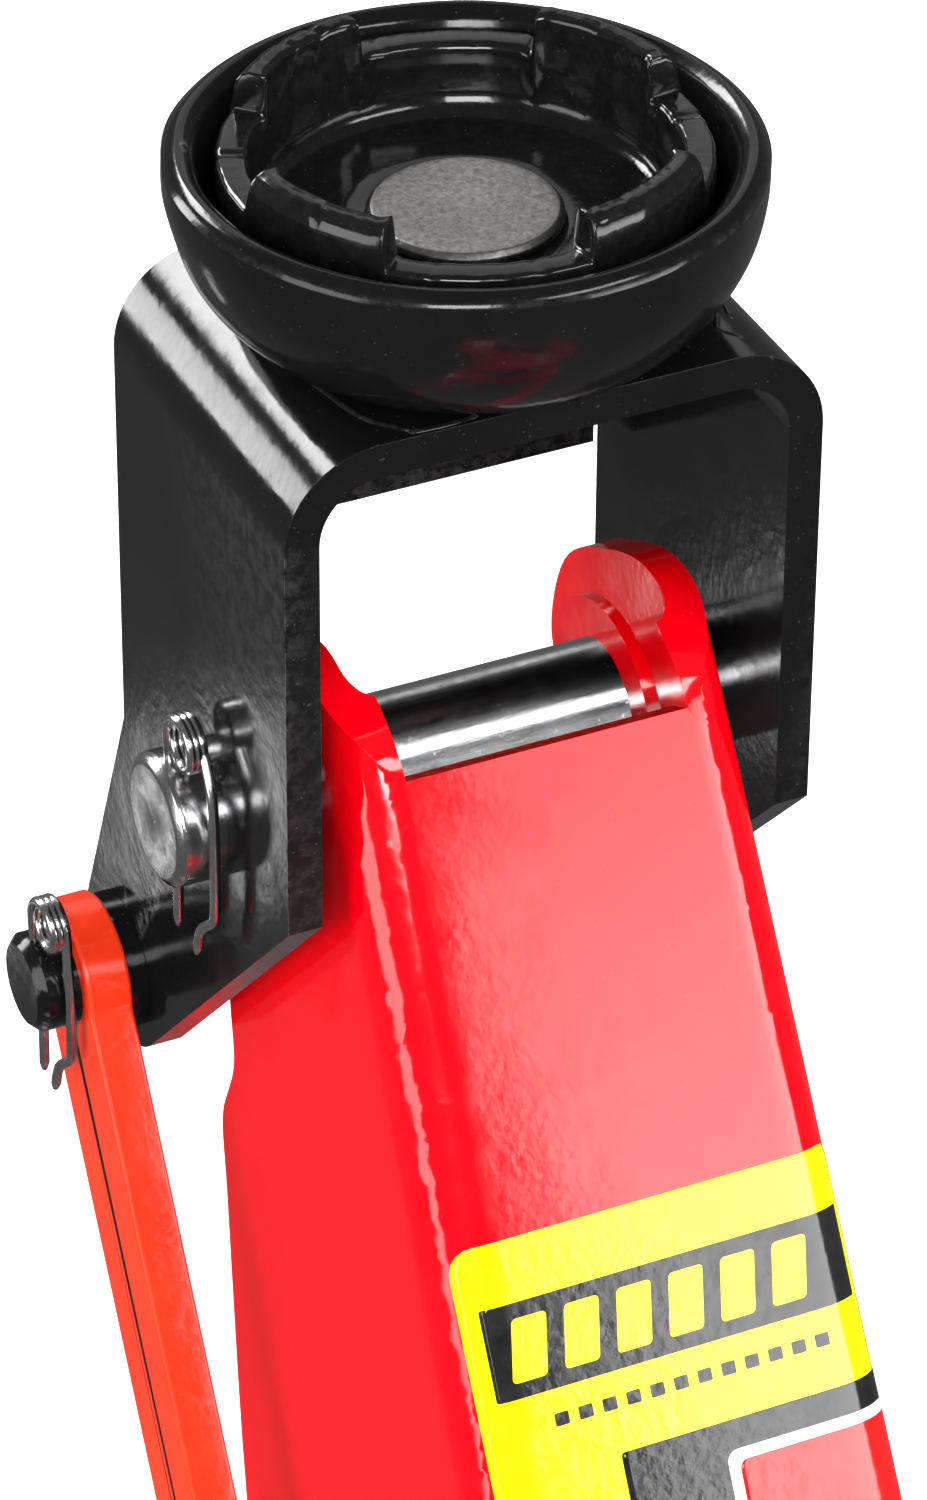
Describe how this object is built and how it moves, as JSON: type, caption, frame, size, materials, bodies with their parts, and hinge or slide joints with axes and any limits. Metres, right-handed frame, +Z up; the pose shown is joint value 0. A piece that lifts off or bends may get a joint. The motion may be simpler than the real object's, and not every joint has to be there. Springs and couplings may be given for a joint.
{
  "type": "hydraulic trolley jack",
  "caption": "Hydraulic trolley jack with raised lift arm, levelling link, black yoke and crenellated saddle, steel rollers, rear casters and pump handle.",
  "frame": {"origin": "centre of the footprint of the whole jack, on the floor", "axes": "+X across the jack, +Y from the handle to the saddle, +Z up"},
  "size_m": [0.312, 1.1062, 0.9828],
  "materials": {
    "red_enamel": "gloss red enamel",
    "orange_red_enamel": "gloss orange-red enamel",
    "black_enamel": "gloss black enamel",
    "bare_rivet_steel": "bare mottled steel",
    "bright_steel": "ground bright steel",
    "spring_wire": "drawn zinc-plated wire",
    "zinc_plate": "zinc plate",
    "dark_iron": "black painted casting",
    "machined_steel": "turned steel",
    "hard_chrome": "hard chrome",
    "grip_rubber": "moulded rubber"
  },
  "bodies": {
    "chassis": {"side_plate_left": "red_enamel", "side_plate_right": "red_enamel", "chassis_brace": "red_enamel", "front_axle": "bright_steel", "front_axle_nuts": "zinc_plate", "arm_pivot_shaft": "bright_steel", "arm_pivot_nuts": "zinc_plate", "link_anchor_pin": "bright_steel", "link_anchor_spacer": "zinc_plate", "link_anchor_nut": "zinc_plate", "pump_block": "dark_iron", "pump_block_bolts": "zinc_plate", "ram_cylinder": "dark_iron", "ram_gland": "machined_steel", "unit_cover": "red_enamel", "cover_screws": "zinc_plate", "return_spring_left": "spring_wire", "return_spring_right": "spring_wire", "pump_spring": "spring_wire", "socket_pivot_pins": "bright_steel", "outrigger_left": "red_enamel", "outrigger_right": "red_enamel", "outrigger_bolts": "zinc_plate", "kingpin_left": "bright_steel", "kingpin_right": "bright_steel"},
    "arm": {"lift_arm": "red_enamel", "arm_tip_bosses": "red_enamel", "arm_pivot_tube": "red_enamel", "crank_pin": "red_enamel"},
    "yoke": {"saddle_yoke": "black_enamel", "yoke_pin": "bright_steel", "yoke_pin_clip": "spring_wire", "link_pin": "black_enamel", "link_pin_clip": "spring_wire"},
    "saddle": {"saddle_dish": "black_enamel", "saddle_crown": "black_enamel", "saddle_pin": "bare_rivet_steel", "saddle_pin_ring": "bare_rivet_steel"},
    "link": {"parallel_link": "orange_red_enamel"},
    "ram": {"ram_rod": "hard_chrome", "ram_crosshead": "machined_steel"},
    "roller_left": {"front_roller_left": "dark_iron"},
    "roller_right": {"front_roller_right": "dark_iron"},
    "fork_left": {"caster_fork_left": "zinc_plate", "caster_axle_left": "bright_steel"},
    "fork_right": {"caster_fork_right": "zinc_plate", "caster_axle_right": "bright_steel"},
    "wheel_left": {"caster_wheel_left": "dark_iron"},
    "wheel_right": {"caster_wheel_right": "dark_iron"},
    "socket": {"handle_socket": "black_enamel", "pump_roller": "bright_steel", "pump_roller_pin": "bright_steel", "handle_clamp_screw": "zinc_plate"},
    "handle": {"release_driver": "machined_steel", "handle_lower_tube": "black_enamel", "handle_upper_tube": "black_enamel", "handle_lock_button": "zinc_plate", "handle_grip": "grip_rubber"},
    "piston": {"pump_piston": "hard_chrome"},
    "valve": {"release_valve": "machined_steel"}
  },
  "joints": [
    {"name": "lift", "type": "hinge", "parent": "chassis", "child": "arm", "pos_m": [0, 0.13708, 0.13], "axis": [1, 0, 0], "range_deg": [-70, 0]},
    {"name": "yoke_level", "type": "hinge", "parent": "arm", "child": "yoke", "pos_m": [0, 0.29168, 0.41474], "axis": [1, 0, 0], "range_deg": [0, 70]},
    {"name": "link_swing", "type": "hinge", "parent": "chassis", "child": "link", "pos_m": [0, 0.17288, 0.0758], "axis": [1, 0, 0], "range_deg": [-70, 0]},
    {"name": "saddle_swivel", "type": "hinge", "parent": "yoke", "child": "saddle", "pos_m": [0, 0.29068, 0.50094], "axis": [0, 0, 1], "continuous": true},
    {"name": "ram_slide", "type": "slide", "parent": "chassis", "child": "ram", "axis": [0, 1, 0], "range_m": [-0.06309, 0], "deforming": ["return_spring_left", "return_spring_right"]},
    {"name": "roller_left_spin", "type": "hinge", "parent": "chassis", "child": "roller_left", "pos_m": [0, 0.52208, 0.031], "axis": [1, 0, 0], "continuous": true},
    {"name": "roller_right_spin", "type": "hinge", "parent": "chassis", "child": "roller_right", "pos_m": [0, 0.52208, 0.031], "axis": [1, 0, 0], "continuous": true},
    {"name": "caster_left_swivel", "type": "hinge", "parent": "chassis", "child": "fork_left", "pos_m": [-0.122, -0.06792, 0.09], "axis": [0, 0, 1], "continuous": true},
    {"name": "caster_left_wheel", "type": "hinge", "parent": "fork_left", "child": "wheel_left", "pos_m": [-0.122, -0.09292, 0.035], "axis": [1, 0, 0], "continuous": true},
    {"name": "caster_right_swivel", "type": "hinge", "parent": "chassis", "child": "fork_right", "pos_m": [0.122, -0.06792, 0.09], "axis": [0, 0, 1], "continuous": true},
    {"name": "caster_right_wheel", "type": "hinge", "parent": "fork_right", "child": "wheel_right", "pos_m": [0.122, -0.09292, 0.035], "axis": [1, 0, 0], "continuous": true},
    {"name": "pump_stroke", "type": "hinge", "parent": "chassis", "child": "socket", "pos_m": [0, -0.06792, 0.16], "axis": [1, 0, 0], "range_deg": [0, 45]},
    {"name": "handle_twist", "type": "hinge", "parent": "socket", "child": "handle", "pos_m": [0, -0.06792, 0.16], "axis": [0, -0.5, 0.866], "range_deg": [0, 180]},
    {"name": "pump_piston_slide", "type": "slide", "parent": "chassis", "child": "piston", "axis": [0, 0, 1], "range_m": [-0.02143, 0], "deforming": ["pump_spring"]},
    {"name": "release_turn", "type": "hinge", "parent": "chassis", "child": "valve", "pos_m": [0, -0.06792, 0.118], "axis": [0, 0, 1], "range_deg": [0, 180]}
  ],
  "couplings": [
    {"joint": "yoke_level", "follows": "lift", "ratio": -1},
    {"joint": "link_swing", "follows": "lift", "ratio": 1},
    {"joint": "ram_slide", "follows": "lift", "m_per_rad": 0.051643},
    {"joint": "pump_piston_slide", "follows": "pump_stroke", "m_per_rad": -0.027286},
    {"joint": "release_turn", "follows": "handle_twist", "ratio": 1}
  ]
}
